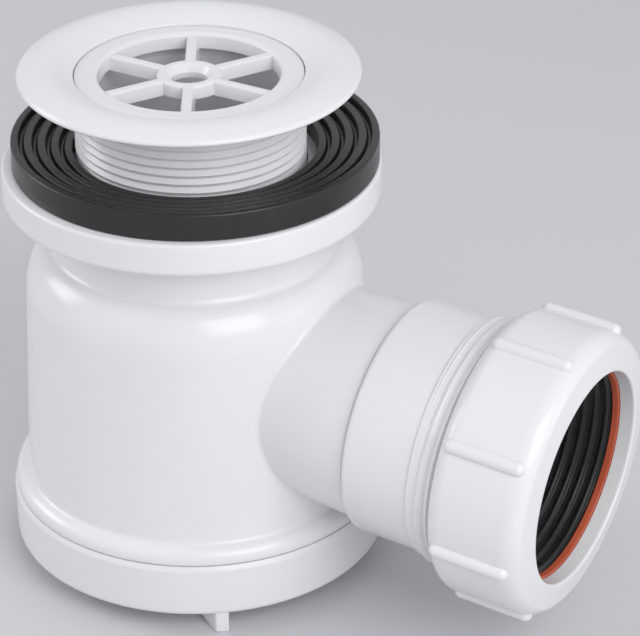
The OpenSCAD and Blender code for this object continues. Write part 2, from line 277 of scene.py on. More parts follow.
class Outline:
    """A closed outline in radius and height, drawn corner by corner."""

    def __init__(self) -> None:
        """Starts with no corners."""
        self.corners: list[tuple[float, float, float]] = []

    def to(self, radius: float, height: float, rounding: float = 0.0) -> "Outline":
        """Adds a corner.

        Args:
            radius: Distance from the axis.
            height: Place along the axis.
            rounding: Size of the round that softens the corner.

        Returns:
            The outline itself.
        """
        self.corners.append((radius, height, rounding))
        return self

    def arc(self, centre: Point, reach: Point, start: float, end: float, steps: int = 16) -> "Outline":
        """Adds part of an ellipse.

        Args:
            centre: Its centre.
            reach: Its two half axes.
            start: First angle in degrees, from the direction of growing radius.
            end: Last angle in degrees.
            steps: Number of pieces.

        Returns:
            The outline itself.
        """
        for i in range(steps + 1):
            angle = math.radians(start + (end - start) * i / steps)
            self.to(centre[0] + reach[0] * math.cos(angle), centre[1] + reach[1] * math.sin(angle))
        return self

    def crown(self, centre: Point, reach: Point, fillet: float, steps: int = 18) -> "Outline":
        """Adds a quarter ellipse that rises to an upright wall, with a fillet in the crease.

        Args:
            centre: The ellipse's centre, whose radius is the wall's.
            reach: Its two half axes.
            fillet: Size of the fillet.
            steps: Pieces in the quarter.

        Returns:
            The outline itself.
        """
        low, high = 0.0, math.pi / 2
        for _ in range(30):
            angle = (low + high) / 2
            normal = Vector((reach[1] * math.cos(angle), reach[0] * math.sin(angle))).normalized()
            if reach[0] * math.cos(angle) + fillet * normal.x > fillet:
                low = angle
            else:
                high = angle
        self.arc(centre, reach, 0, math.degrees(angle), steps)
        top = centre[1] + reach[1] * math.sin(angle) + fillet * normal.y
        lean = math.degrees(math.atan2(normal.y, normal.x))
        return self.arc((centre[0] + fillet, top), (fillet, fillet), 180 + lean, 180, 6)

    def points(self, steps: int = 5) -> list[Point]:
        """Works out the outline's points, with each rounded corner drawn as a short curve.

        Args:
            steps: Pieces in each rounded corner.

        Returns:
            The points in order.
        """
        made: list[Point] = []
        count = len(self.corners)
        for i, (x, y, rounding) in enumerate(self.corners):
            if rounding <= 0:
                made.append((x, y))
                continue
            here = Vector((x, y))
            before = Vector(self.corners[i - 1][:2]) - here
            after = Vector(self.corners[(i + 1) % count][:2]) - here
            half = before.angle(after) / 2
            reach = min(rounding / math.tan(half), 0.49 * before.length, 0.49 * after.length)
            start = here + before.normalized() * reach
            end = here + after.normalized() * reach
            for k in range(steps + 1):
                t = k / steps
                p = start * (1 - t) ** 2 + here * 2 * t * (1 - t) + end * t**2
                made.append((p.x, p.y))
        return made


@dataclass(frozen=True)
class OutletAxis:
    """The falling axis of the outlet, read from the nut's joint."""

    origin: Vector
    direction: Vector

    @classmethod
    def from_frame(cls) -> "OutletAxis":
        """Reads the axis of the joint that turns the nut."""
        joint = next(j for j in frame["joints"] if j["name"] == "nut_turn")
        return cls(Vector(joint["pos_m"]) / MM, Vector(joint["axis"]).normalized())

    def matrix(self) -> Matrix:
        """Gives the turn and shift that lay local Z along the outlet, with local X down."""
        side = Vector((0.0, 1.0, 0.0))
        down = side.cross(self.direction)
        turn = Matrix((down, side, self.direction)).transposed()
        return Matrix.Translation(self.origin) @ turn.to_4x4()


class Shape:
    """A closed mesh in millimetres that is still being worked on."""

    def __init__(self, mesh: bpy.types.Mesh) -> None:
        """Wraps a mesh.

        Args:
            mesh: The mesh to work on.
        """
        self.mesh = mesh

    @classmethod
    def from_faces(cls, points: list[tuple[float, float, float]], faces: list[tuple[int, ...]]) -> "Shape":
        """Makes a shape from points and faces, merges doubles and turns the faces outwards.

        Args:
            points: The corners.
            faces: The faces, as numbers of corners.

        Returns:
            The shape.
        """
        mesh = bpy.data.meshes.new("shape")
        mesh.from_pydata(points, [], faces)
        return cls(mesh).cleaned()

    @classmethod
    def lofted(cls, rings: list[list[Vector]], closed: bool) -> "Shape":
        """Joins rings of points, one after another.

        Args:
            rings: The rings, all with the same number of points.
            closed: Whether the last ring meets the first one, or both are capped.

        Returns:
            The closed shape.
        """
        count = len(rings[0])
        points = [tuple(point) for ring in rings for point in ring]
        faces = []
        for i in range(len(rings) if closed else len(rings) - 1):
            here, there = i * count, (i + 1) % len(rings) * count
            for k in range(count):
                n = (k + 1) % count
                faces.append((here + k, there + k, there + n, here + n))
        if not closed:
            faces.append(tuple(range(count)))
            faces.append(tuple(range(len(points) - count, len(points))))
        return cls.from_faces(points, faces)

    @classmethod
    def turned(cls, outline: list[Point], segments: int = SEGMENTS) -> "Shape":
        """Turns a closed outline round the Z axis.

        Args:
            outline: Points in radius and height.
            segments: Steps in a full turn.

        Returns:
            The turned shape.
        """
        rings = []
        for i in range(segments):
            angle = FULL_TURN * i / segments
            rings.append([Vector((r * math.cos(angle), r * math.sin(angle), z)) for r, z in outline])
        return cls.lofted(rings, True)

    @classmethod
    def bar(cls, low: Vector, high: Vector, rounding: float, segments: int = 3) -> "Shape":
        """Makes a box with rounded edges.

        Args:
            low: Its lowest corner.
            high: Its highest corner.
            rounding: Width of the rounds.
            segments: Steps in each round.

        Returns:
            The bar.
        """
        work = bmesh.new()
        bmesh.ops.create_cube(work, size=1.0)
        size = high - low
        for vert in work.verts:
            vert.co = Vector(low[i] + size[i] * (vert.co[i] + 0.5) for i in range(3))
        bmesh.ops.bevel(work, geom=work.edges[:], offset=rounding, segments=segments, profile=0.5,
                        affect="EDGES")
        mesh = bpy.data.meshes.new("bar")
        work.to_mesh(mesh)
        work.free()
        return cls(mesh)

    def cleaned(self) -> "Shape":
        """Merges doubles, drops empty faces and turns all faces outwards."""
        work = bmesh.new()
        work.from_mesh(self.mesh)
        bmesh.ops.remove_doubles(work, verts=work.verts[:], dist=MERGE)
        bmesh.ops.dissolve_degenerate(work, edges=work.edges[:], dist=MERGE)
        bmesh.ops.recalc_face_normals(work, faces=work.faces[:])
        work.to_mesh(self.mesh)
        work.free()
        return self

    def moved(self, matrix: Matrix) -> "Shape":
        """Moves the shape by a matrix."""
        self.mesh.transform(matrix)
        return self

    def joined(self, others: list["Shape"], how: Join) -> "Shape":
        """Adds other closed shapes to this one, or cuts them from it.

        Args:
            others: The other shapes, which are used up.
            how: Whether they are added or cut.

        Returns:
            The shape itself.
        """
        scene = bpy.context.scene
        base = bpy.data.objects.new("joining", self.mesh)
        scene.collection.objects.link(base)
        tools = []
        for other in others:
            tool = bpy.data.objects.new("tool", other.mesh)
            scene.collection.objects.link(tool)
            tools.append(tool)
            modifier = base.modifiers.new("join", "BOOLEAN")
            modifier.operation = how.value
            modifier.solver = "MANIFOLD"
            modifier.object = tool
        bpy.context.view_layer.update()
        evaluated = base.evaluated_get(bpy.context.evaluated_depsgraph_get())
        self.mesh = bpy.data.meshes.new_from_object(evaluated)
        for thing in [base, *tools]:
            bpy.data.objects.remove(thing)
        return self


class GeometryTree:
    """A Geometry Nodes tree with named inputs that ends in Realize Instances and Set Material."""

    def __init__(self, name: str, inputs: dict[str, str]) -> None:
        """Starts the tree.

        Args:
            name: Name of the tree.
            inputs: Socket type of each named input.
        """
        self.tree = bpy.data.node_groups.new(name, "GeometryNodeTree")
        self.sheet = NodeSheet(self.tree)
        self.tree.interface.new_socket("Geometry", in_out="OUTPUT", socket_type="NodeSocketGeometry")
        self.tree.interface.new_socket("Geometry", in_out="INPUT", socket_type="NodeSocketGeometry")
        self.keys = {}
        for label, kind in {**inputs, "Finish": "NodeSocketMaterial"}.items():
            socket = self.tree.interface.new_socket(label, in_out="INPUT", socket_type=kind)
            self.keys[label] = socket.identifier
        self.start = self.sheet.add("NodeGroupInput")
        self.end = self.sheet.add("NodeGroupOutput")

    def value(self, label: str) -> bpy.types.NodeSocket:
        """Gives the output socket of a named input."""
        return self.start.outputs[label]

    def close(self, geometry: bpy.types.NodeSocket) -> None:
        """Ends the tree.

        Args:
            geometry: What the tree has made.
        """
        realize = self.sheet.add("GeometryNodeRealizeInstances")
        dress = self.sheet.add("GeometryNodeSetMaterial")
        self.sheet.link(geometry, realize.inputs["Geometry"])
        self.sheet.link(realize.outputs["Geometry"], dress.inputs["Geometry"])
        self.sheet.link(self.value("Finish"), dress.inputs["Material"])
        self.sheet.link(dress.outputs["Geometry"], self.end.inputs["Geometry"])

    def run(self, mesh: bpy.types.Mesh, finish: bpy.types.Material, **values: float) -> Shape:
        """Runs the tree on a mesh.

        Args:
            mesh: The mesh that the tree starts from.
            finish: The material to set.
            values: The named inputs, with underscores for spaces.

        Returns:
            The plain mesh that comes out.
        """
        holder = bpy.data.objects.new("holder", mesh)
        bpy.context.scene.collection.objects.link(holder)
        modifier = holder.modifiers.new("nodes", "NODES")
        modifier.node_group = self.tree
        modifier[self.keys["Finish"]] = finish
        for label, value in values.items():
            modifier[self.keys[label.replace("_", " ")]] = value
        bpy.context.view_layer.update()
        evaluated = holder.evaluated_get(bpy.context.evaluated_depsgraph_get())
        made = bpy.data.meshes.new_from_object(evaluated)
        holder.modifiers.remove(modifier)
        bpy.data.objects.remove(holder)
        return Shape(made)


class RingOfCopies(GeometryTree):
    """Sets copies of a mesh at even steps round the Z axis."""

    def __init__(self) -> None:
        """Builds the tree."""
        super().__init__("ring_of_copies", {"Count": "NodeSocketInt", "Start Angle": "NodeSocketFloat"})
        sheet = self.sheet
        instance = sheet.add("GeometryNodeGeometryToInstance")
        copies = sheet.add("GeometryNodeDuplicateElements", domain="INSTANCE")
        turn = sheet.add("GeometryNodeRotateInstances")
        angle = sheet.add("ShaderNodeCombineXYZ")
        turn.inputs["Local Space"].default_value = False
        sheet.link(self.value("Geometry"), instance.inputs["Geometry"])
        sheet.link(instance.outputs["Instances"], copies.inputs["Geometry"])
        sheet.link(self.value("Count"), copies.inputs["Amount"])
        step = sheet.math("DIVIDE", FULL_TURN, self.value("Count"))
        turned = sheet.math("MULTIPLY", copies.outputs["Duplicate Index"], step)
        sheet.link(sheet.math("ADD", turned, self.value("Start Angle")), angle.inputs["Z"])
        sheet.link(copies.outputs["Geometry"], turn.inputs["Instances"])
        sheet.link(angle.outputs["Vector"], turn.inputs["Rotation"])
        self.close(turn.outputs["Instances"])


class ThreadRidge(GeometryTree):
    """Sweeps a rounded ridge along a right-handed helix and lets it fade out at both ends."""

    def __init__(self) -> None:
        """Builds the tree."""
        inputs = {
            "Radius": "NodeSocketFloat",
            "Pitch": "NodeSocketFloat",
            "Turns": "NodeSocketFloat",
            "Ridge Height": "NodeSocketFloat",
            "Ridge Width": "NodeSocketFloat",
            "Fade": "NodeSocketFloat",
            "Steps": "NodeSocketInt",
        }
        super().__init__("thread_ridge", inputs)
        sheet = self.sheet
        helix = sheet.add("GeometryNodeCurveSpiral")
        upright = sheet.add("GeometryNodeSetCurveNormal", mode="Z_UP")
        section = sheet.add("GeometryNodeCurvePrimitiveQuadrilateral", mode="KITE")
        soften = sheet.add("GeometryNodeFilletCurve", mode="POLY")
        sweep = sheet.add("GeometryNodeCurveToMesh")
        smooth = sheet.add("GeometryNodeSetShadeSmooth")
        along = sheet.add("GeometryNodeSplineParameter").outputs["Factor"]
        soften.inputs["Count"].default_value = 2
        sweep.inputs["Fill Caps"].default_value = True
        sheet.link(self.value("Steps"), helix.inputs["Resolution"])
        sheet.link(self.value("Turns"), helix.inputs["Rotations"])
        sheet.link(self.value("Radius"), helix.inputs["Start Radius"])
        sheet.link(self.value("Radius"), helix.inputs["End Radius"])
        rise = sheet.math("MULTIPLY", self.value("Pitch"), self.value("Turns"))
        sheet.link(rise, helix.inputs["Height"])
        sheet.link(helix.outputs["Curve"], upright.inputs["Curve"])
        sheet.link(sheet.math("MULTIPLY", self.value("Ridge Height"), 2.0), section.inputs["Width"])
        half_width = sheet.math("MULTIPLY", self.value("Ridge Width"), 0.5)
        sheet.link(half_width, section.inputs["Bottom Height"])
        sheet.link(half_width, section.inputs["Top Height"])
        sheet.link(section.outputs["Curve"], soften.inputs["Curve"])
        sheet.link(sheet.math("MULTIPLY", self.value("Ridge Height"), 0.22), soften.inputs["Radius"])
        from_start = sheet.math("MULTIPLY", along, self.value("Turns"))
        from_end = sheet.math("SUBTRACT", self.value("Turns"), from_start)
        nearest = sheet.math("MINIMUM", from_start, from_end)
        share = sheet.math("DIVIDE", nearest, self.value("Fade"))
        scale = sheet.math("MAXIMUM", sheet.math("MINIMUM", share, 1.0), 0.05)
        sheet.link(upright.outputs["Curve"], sweep.inputs["Curve"])
        sheet.link(soften.outputs["Curve"], sweep.inputs["Profile Curve"])
        sheet.link(scale, sweep.inputs["Scale"])
        sheet.link(sweep.outputs["Mesh"], smooth.inputs["Geometry"])
        self.close(smooth.outputs["Geometry"])


@dataclass
class Workshop:
    """What every sub-assembly builds with."""

    outlet: OutletAxis = field(default_factory=OutletAxis.from_frame)
    copies: RingOfCopies = field(default_factory=RingOfCopies)
    threads: ThreadRidge = field(default_factory=ThreadRidge)

    def ring(self, shape: Shape, count: int, start: float = 0.0) -> Shape:
        """Sets copies of a shape round the Z axis.

        Args:
            shape: The shape to repeat.
            count: Number of copies.
            start: Angle of the first one, in degrees.

        Returns:
            All copies as one shape.
        """
        finish = FINISHES[Slot.WHITE].material()
        return self.copies.run(shape.mesh, finish, Count=count, Start_Angle=math.radians(start))

    def thread(self, radius: float, pitch: float, low: float, high: float, depth: float,
               start: float = 0.0) -> Shape:
        """Makes a helical thread ridge round the Z axis.

        Args:
            radius: Radius of the thread's core.
            pitch: Distance between turns.
            low: Lowest place of the ridge's middle.
            high: Highest place of the ridge's middle.
            depth: How far the ridge stands out of the core.
            start: Angle at which the ridge starts, in degrees.

        Returns:
            The ridge.
        """
        empty = bpy.data.meshes.new("start")
        ridge = self.threads.run(
            empty,
            FINISHES[Slot.WHITE].material(),
            Radius=radius,
            Pitch=pitch,
            Turns=(high - low) / pitch,
            Ridge_Height=depth,
            Ridge_Width=pitch * 0.96,
            Fade=0.4,
            Steps=SEGMENTS // 2,
        )
        turn = Matrix.Rotation(math.radians(start), 4, "Z")
        return ridge.moved(Matrix.Translation((0, 0, low)) @ turn)

    def finish(self, name: str, shape: Shape, body: str, slot: Slot,
               nodes: tuple[str, ...] = ()) -> bpy.types.Object:
        """Turns a shape into a finished piece of the part.

        Args:
            name: Name of the piece.
            shape: Its shape, in millimetres.
            body: The body that it rides on.
            slot: The material slot that gives its finish.
            nodes: Nodes of the part that it stands for.

        Returns:
            The piece.
        """
        mesh = shape.mesh
        mesh.transform(Matrix.Scale(MM, 4))
        mesh.name = name
        mesh.materials.clear()
        mesh.materials.append(FINISHES[slot].material())
        mesh.polygons.foreach_set("use_smooth", [True] * len(mesh.polygons))
        mesh.set_sharp_from_angle(angle=SHARP_ANGLE)
        piece = bpy.data.objects.new(name, mesh)
        bpy.context.scene.collection.objects.link(piece)
        weigh = piece.modifiers.new("even_shading", "WEIGHTED_NORMAL")
        weigh.keep_sharp = True
        weigh.weight = 60
        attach(piece, body)
        if nodes:
            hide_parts(*nodes)
        log.info("%s: %d faces on %s", name, len(mesh.polygons), body)
        return piece


@dataclass
class WasteFlange:
    """The domed flange with its threaded tail, and the strainer that drops into it."""

    edge_r: float = 35.0
    edge_t: float = 1.5
    edge_break: float = 0.5
    crown_steps: int = 20
    underside_z: float = 105.4
    dome_h: float = 1.5
    dish: float = 0.8
    seat_r: float = 23.55
    seat_t: float = 1.85
    seat_wall: float = 1.5
    tail_r: float = 23.8
    tail_bore_r: float = 21.2
    tail_end_z: float = 81.2
    thread_depth: float = 0.8
    pitch: float = 1.85
    grid_r: float = 23.4
    grid_open_r: float = 18.7
    grid_ring_t: float = 1.8
    grid_depth: float = 3.4
    skirt_r: float = 20.9
    spoke_count: int = 6
    spoke_t: float = 2.2
    spoke_draft: float = 0.35
    spoke_drop: float = 0.5
    hub_r: float = 6.6
    hub_hole_r: float = 3.7
    hub_sink_r: float = 4.9
    sink_depth: float = 1.5
    seal_outer_r: float = 31.0
    seal_inner_r: float = 25.35
    seal_low_z: float = 103.85
    seal_high_z: float = 105.35

    def build(self, shop: Workshop) -> None:
        """Builds the flange, its thread, the strainer and the thin seal."""
        self.build_flange(shop)
        self.build_strainer(shop)
        self.build_seal(shop)

    def build_flange(self, shop: Workshop) -> None:
        """Builds the flange and the thread on its tail."""
        top = self.underside_z + self.edge_t
        seat_z = top - self.dish - self.seat_t
        core_r = self.tail_r - self.thread_depth
        collar_r = self.seat_r + self.seat_wall
        collar_z = seat_z - self.seat_wall
        outline = Outline().to(self.tail_bore_r, self.tail_end_z, 0.4)
        outline.to(self.tail_bore_r, seat_z, 0.2)
        outline.to(self.seat_r, seat_z, 0.1)
        for i in range(self.crown_steps + 1):
            u = i / self.crown_steps
            rise = self.dome_h * math.sin(math.pi * u) - self.dish * (1 - u) ** 2
            outline.to(self.seat_r + (self.edge_r - self.edge_break - self.seat_r) * u, top + rise, 0.3)
        outline.to(self.edge_r, top - self.edge_break, 0.6)
        outline.to(self.edge_r, self.underside_z + self.edge_break, 0.5)
        outline.to(self.edge_r - self.edge_break, self.underside_z, 0.3)
        outline.to(collar_r, self.underside_z, 0.1)
        outline.to(collar_r, collar_z, 0.3)
        outline.to(core_r, collar_z, 0.2)
        outline.to(core_r, self.tail_end_z, 0.4)
        flange = Shape.turned(outline.points())
        shop.finish("flange_plate", flange, "flange", Slot.WHITE, ("waste_flange",))
        thread = shop.thread(core_r, self.pitch, self.tail_end_z + 1.3, collar_z - 1.0, self.thread_depth)
        shop.finish("tail_thread", thread, "flange", Slot.WHITE)

    def build_strainer(self, shop: Workshop) -> None:
        """Builds the strainer's ring, skirt, hub and spokes as one moulding."""
        top = self.underside_z + self.edge_t - self.dish
        low = top - self.grid_depth
        spoke_top = top - self.spoke_drop
        ring = (
            Outline()
            .to(self.grid_open_r - self.spoke_draft, low, 0.3)
            .to(self.grid_open_r, top - 0.5, 0.5)
            .to(self.grid_open_r + 0.9, top, 0.9)
            .to(self.grid_r - 1.2, top, 1.0)
            .to(self.grid_r, top - 0.35, 0.35)
            .to(self.grid_r, top - self.grid_ring_t, 0.3)
            .to(self.skirt_r, top - self.grid_ring_t, 0.2)
            .to(self.skirt_r, low, 0.4)
        )
        hub = (
            Outline()
            .to(self.hub_hole_r, low, 0.3)
            .to(self.hub_hole_r, spoke_top - self.sink_depth, 0.4)
            .to(self.hub_sink_r, spoke_top, 0.4)
            .to(self.hub_r, spoke_top, 0.7)
            .to(self.hub_r + self.spoke_draft, low, 0.3)
        )
        spoke = self.spoke(low, spoke_top)
        grid = Shape.turned(ring.points())
        grid.joined([Shape.turned(hub.points(), SEGMENTS // 2), shop.ring(spoke, self.spoke_count)], Join.ADD)
        shop.finish("strainer", grid, "strainer", Slot.WHITE, ("strainer_grid",))

    def spoke(self, low: float, top: float) -> Shape:
        """Makes one spoke, a little wider at its foot and rounded along its top.

        Args:
            low: Height of its underside.
            top: Height of its top.

        Returns:
            The spoke, from the hub to the ring at angle zero.
        """
        half, round_r, steps = self.spoke_t / 2, 0.55, 4
        side = [Vector((half - round_r + round_r * math.sin(t), top - round_r + round_r * math.cos(t)))
                for t in (math.pi / 2 * k / steps for k in range(steps + 1))]
        side.append(Vector((half + self.spoke_draft, low)))
        section = side + [Vector((-p.x, p.y)) for p in reversed(side)]
        ends = (self.hub_r - 0.9, self.grid_open_r + 0.9)
        return Shape.lofted([[Vector((x, p.x, p.y)) for p in section] for x in ends], False)

    def build_seal(self, shop: Workshop) -> None:
        """Builds the thin seal under the flange."""
        outline = (
            Outline()
            .to(self.seal_inner_r, self.seal_low_z, 0.3)
            .to(self.seal_inner_r, self.seal_high_z, 0.3)
            .to(self.seal_outer_r, self.seal_high_z, 0.5)
            .to(self.seal_outer_r, self.seal_low_z, 0.5)
        )
        shop.finish("thin_seal", Shape.turned(outline.points()), "seal_ring", Slot.FOAM, ("flange_seal",))


@dataclass
class TrayWasher:
    """The black washer, whose raised rings step down towards its hole."""

    outer_r: float = 37.8
    inner_r: float = 25.2
    bottom_z: float = 86.6
    thickness: float = 5.8
    shift: tuple[float, float] = (0.779, 0.45)
    rings: int = 4
    land: float = 0.55
    step: float = 0.55
    groove: float = 0.9

    def build(self, shop: Workshop) -> None:
        """Builds the washer."""
        top = self.bottom_z + self.thickness
        pitch = (self.outer_r - self.inner_r) / (self.rings + self.land)
        outline = (
            Outline()
            .to(self.inner_r, self.bottom_z, 0.25)
            .to(self.outer_r, self.bottom_z, 0.5)
            .to(self.outer_r, top, 0.55)
        )
        for i in range(self.rings):
            edge = self.outer_r - (i + self.land) * pitch
            height = top - i * self.step
            floor = height - self.step - self.groove
            outline.to(edge, height, 0.28)
            outline.to(edge - 0.14 * pitch, floor, 0.2)
            outline.to(edge - 0.31 * pitch, floor, 0.2)
            outline.to(edge - 0.45 * pitch, height - self.step, 0.28)
        outline.to(self.inner_r, top - self.rings * self.step, 0.3)
        washer = Shape.turned(outline.points())
        washer.moved(Matrix.Translation((*self.shift, 0.0)))
        shop.finish("ribbed_washer", washer, "trap", Slot.RUBBER, ("tray_washer",))


@dataclass
class TrapBody:
    """The body moulding: flared foot, wall, shoulder, neck, rim and outlet stub."""

    seam_z: float = 12.3
    foot_r: float = 39.7
    bottom_r: float = 36.9
    top_r: float = 35.35
    flare_band: float = 0.8
    flare_h: float = 3.5
    flare_fillet: float = 1.2
    wall: float = 2.6
    shoulder_z: float = 57.6
    shoulder_h: float = 10.5
    neck_fillet: float = 1.8
    neck_r: float = 29.3
    rim_r: float = 39.1
    rim_top_z: float = 86.6
    rim_h: float = 7.2
    plate_t: float = 3.2
    band_t: float = 2.6
    web_count: int = 8
    web_t: float = 2.0
    neck_bore_r: float = 23.88
    throat_r: float = 19.2
    throat_z: float = 64.6
    ledge_z: float = 68.6
    lip_low_z: float = 10.3
    lip_outer_r: float = 37.35
    stub_root_r: float = 20.6
    stub_end_r: float = 23.3
    stub_len: float = 48.6
    stub_fillet: float = 1.2

    def outer_wall(self) -> Outline:
        """Draws the outside from the seam up to the neck."""
        return (
            Outline()
            .to(self.foot_r, self.seam_z, 0.3)
            .crown((self.bottom_r, self.seam_z + self.flare_band),
                   (self.foot_r - self.bottom_r, self.flare_h - self.flare_band), self.flare_fillet)
            .crown((self.neck_r, self.shoulder_z), (self.top_r - self.neck_r, self.shoulder_h),
                   self.neck_fillet, 24)
        )

    def outline(self) -> Outline:
        """Draws the whole section of the turned part of the body."""
        under_plate = self.rim_top_z - self.plate_t
        rim_low = self.rim_top_z - self.rim_h
        inner_r = self.neck_r - self.wall
        drawn = self.outer_wall()
        drawn.to(self.neck_r, under_plate, 0.6)
        drawn.to(self.rim_r - self.band_t, under_plate, 0.4)
        drawn.to(self.rim_r - self.band_t, rim_low, 0.3)
        drawn.to(self.rim_r, rim_low, 1.3)
        drawn.to(self.rim_r, self.rim_top_z - 0.15, 0.9)
        drawn.to(self.rim_r - 1.6, self.rim_top_z, 0.4)
        drawn.to(self.neck_bore_r, self.rim_top_z, 0.4)
        drawn.to(self.neck_bore_r, self.ledge_z, 0.2)
        drawn.to(self.throat_r, self.ledge_z, 0.4)
        drawn.to(self.throat_r, self.throat_z, 0.4)
        drawn.to(inner_r, self.throat_z, 0.4)
        drawn.arc((inner_r, self.shoulder_z - self.wall / 2),
                  (self.top_r - self.neck_r, self.shoulder_h - self.wall / 2), 60, 0, 8)
        drawn.to(self.bottom_r - self.wall, self.seam_z)
        drawn.to(self.bottom_r - self.wall, self.lip_low_z)
        drawn.to(self.lip_outer_r, self.lip_low_z)
        drawn.to(self.lip_outer_r, self.seam_z)
        return drawn

    def build(self, shop: Workshop) -> None:
        """Builds the body."""
        body = Shape.turned(self.outline().points())
        web = Shape.bar(
            Vector((self.neck_r - 0.6, -self.web_t / 2, self.rim_top_z - self.rim_h + 1.3)),
            Vector((self.rim_r - self.band_t + 0.6, self.web_t / 2, self.rim_top_z - self.plate_t + 0.5)),
            0.25,
        )
        webs = shop.ring(web, self.web_count, 180 / self.web_count)
        body.joined([webs, self.stub(shop.outlet)], Join.ADD)
        start, end = 8.0, self.stub_len + 2.0
        bore = Outline().to(0.0, start).to(self.stub_r(start) - self.wall, start)
        bore.to(self.stub_r(end) - self.wall, end).to(0.0, end)
        body.joined([Shape.turned(bore.points()).moved(shop.outlet.matrix())], Join.CUT)
        shop.finish("body_moulding", body, "trap", Slot.WHITE, ("trap_body",))

    def stub_r(self, station: float) -> float:
        """Gives the outer radius of the slightly conical stub at a place along the outlet."""
        return self.stub_root_r + (self.stub_end_r - self.stub_root_r) * station / self.stub_len

    def wall_contact(self, place: Vector, edges: list[tuple[Vector, Vector]]) -> tuple[float, Vector]:
        """Finds the body's nearest outside point to a place.

        Args:
            place: The place in space.
            edges: The outside's section, as pairs of points in radius and height.

        Returns:
            The distance, negative inside the body, and the nearest point in space.
        """
        rho = math.hypot(place.x, place.y)
        flat = Vector((rho, place.z))
        best, nearest = math.inf, flat
        for a, b in edges:
            along = b - a
            t = max(0.0, min(1.0, (flat - a).dot(along) / along.length_squared))
            point = a + along * t
            away = flat - point
            if away.length < abs(best):
                best = -away.length if along.cross(away) > 0 else away.length
                nearest = point
        share = nearest.x / rho
        return best, Vector((place.x * share, place.y * share, nearest.y))

    def stub(self, outlet: OutletAxis) -> Shape:
        """Builds the outlet stub with a rolled fillet where it meets the body.

        Args:
            outlet: The outlet's axis.

        Returns:
            The stub, closed at both ends.
        """
        section = [Vector(p) for p in self.outer_wall().points()]
        section.append(Vector((self.neck_r, self.rim_top_z - self.plate_t)))
        edges = [(a, b) for a, b in zip(section, section[1:]) if (a - b).length > MERGE]
        turn = outlet.matrix().to_3x3()
        rolls, edge_round, sunk = 6, 0.35, 1.2
        inner_r = self.stub_root_r - self.wall - 0.5
        taper = math.atan((self.stub_end_r - self.stub_root_r) / self.stub_len)
        rings: list[list[Vector]] = []
        for i in range(SEGMENTS):
            angle = FULL_TURN * i / SEGMENTS
            out = (turn @ Vector((math.cos(angle), math.sin(angle), 0))).normalized()

            def at(station: float, radius: float) -> Vector:
                """Gives a place beside the outlet's axis, on this ring's side."""
                return outlet.origin + outlet.direction * station + out * radius

            near, far = 10.0, self.stub_len
            for _ in range(36):
                middle = (near + far) / 2
                centre = at(middle, self.stub_r(middle) + self.stub_fillet)
                if self.wall_contact(centre, edges)[0] > self.stub_fillet:
                    far = middle
                else:
                    near = middle
            centre = at(far, self.stub_r(far) + self.stub_fillet)
            contact = self.wall_contact(centre, edges)[1]
            to_wall = (contact - centre).normalized()
            to_stub = outlet.direction * math.sin(taper) - out * math.cos(taper)
            ring = [
                at(self.stub_len, inner_r),
                at(self.stub_len, self.stub_end_r - edge_round),
                at(self.stub_len - edge_round, self.stub_end_r),
            ]
            for k in range(rolls + 1):
                ring.append(centre + to_stub.slerp(to_wall, k / rolls) * self.stub_fillet)
            ring.append(contact + to_wall * sunk)
            ring.append(at(far - 4.0, inner_r))
            rings.append(ring)
        return Shape.lofted(rings, True)


